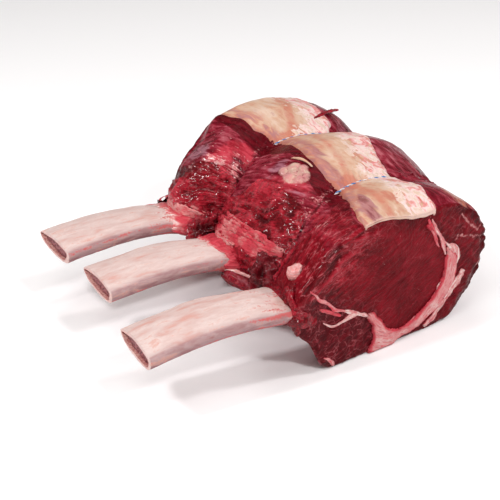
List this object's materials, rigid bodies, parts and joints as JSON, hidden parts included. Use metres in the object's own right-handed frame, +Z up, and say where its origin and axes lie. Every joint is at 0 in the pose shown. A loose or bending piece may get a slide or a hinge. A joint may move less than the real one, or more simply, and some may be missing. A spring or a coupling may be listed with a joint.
{
  "type": "beef rib roast",
  "caption": "Raw frenched beef rib roast with bared ribs, fat cover and two loops of butcher's twine, lying on its flat side.",
  "frame": {"origin": "middle of the box's underside, on the surface the roast rests on", "axes": "+X from the rib tips across the meat to its thick side, +Y from the front cut face to the rear end, +Z up"},
  "size_m": [0.2718, 0.184, 0.1023],
  "materials": {
    "lean_meat": "wet raw lean beef, glossy, fine grain",
    "dark_meat": "wet dark lean beef with thin fat veins",
    "seam_fat": "moist pale pink fat and connective tissue",
    "cover_fat": "smooth cream to peach fat with mauve stains",
    "bone": "scraped fresh rib, satin, pinkish white with red stains",
    "marrow": "dark red spongy marrow",
    "twine": "twisted blue and white cotton"
  },
  "bodies": {
    "root": {"eye_muscle": "lean_meat", "cap_muscle": "lean_meat", "rib_muscle": "dark_meat", "seam_fat": "seam_fat", "back_fat": "cover_fat", "rib_bone_1": "bone", "rib_bone_2": "bone", "rib_bone_3": "bone", "marrow_1": "marrow", "marrow_2": "marrow", "marrow_3": "marrow", "twine_1": "twine", "twine_2": "twine"}
  },
  "joints": []
}
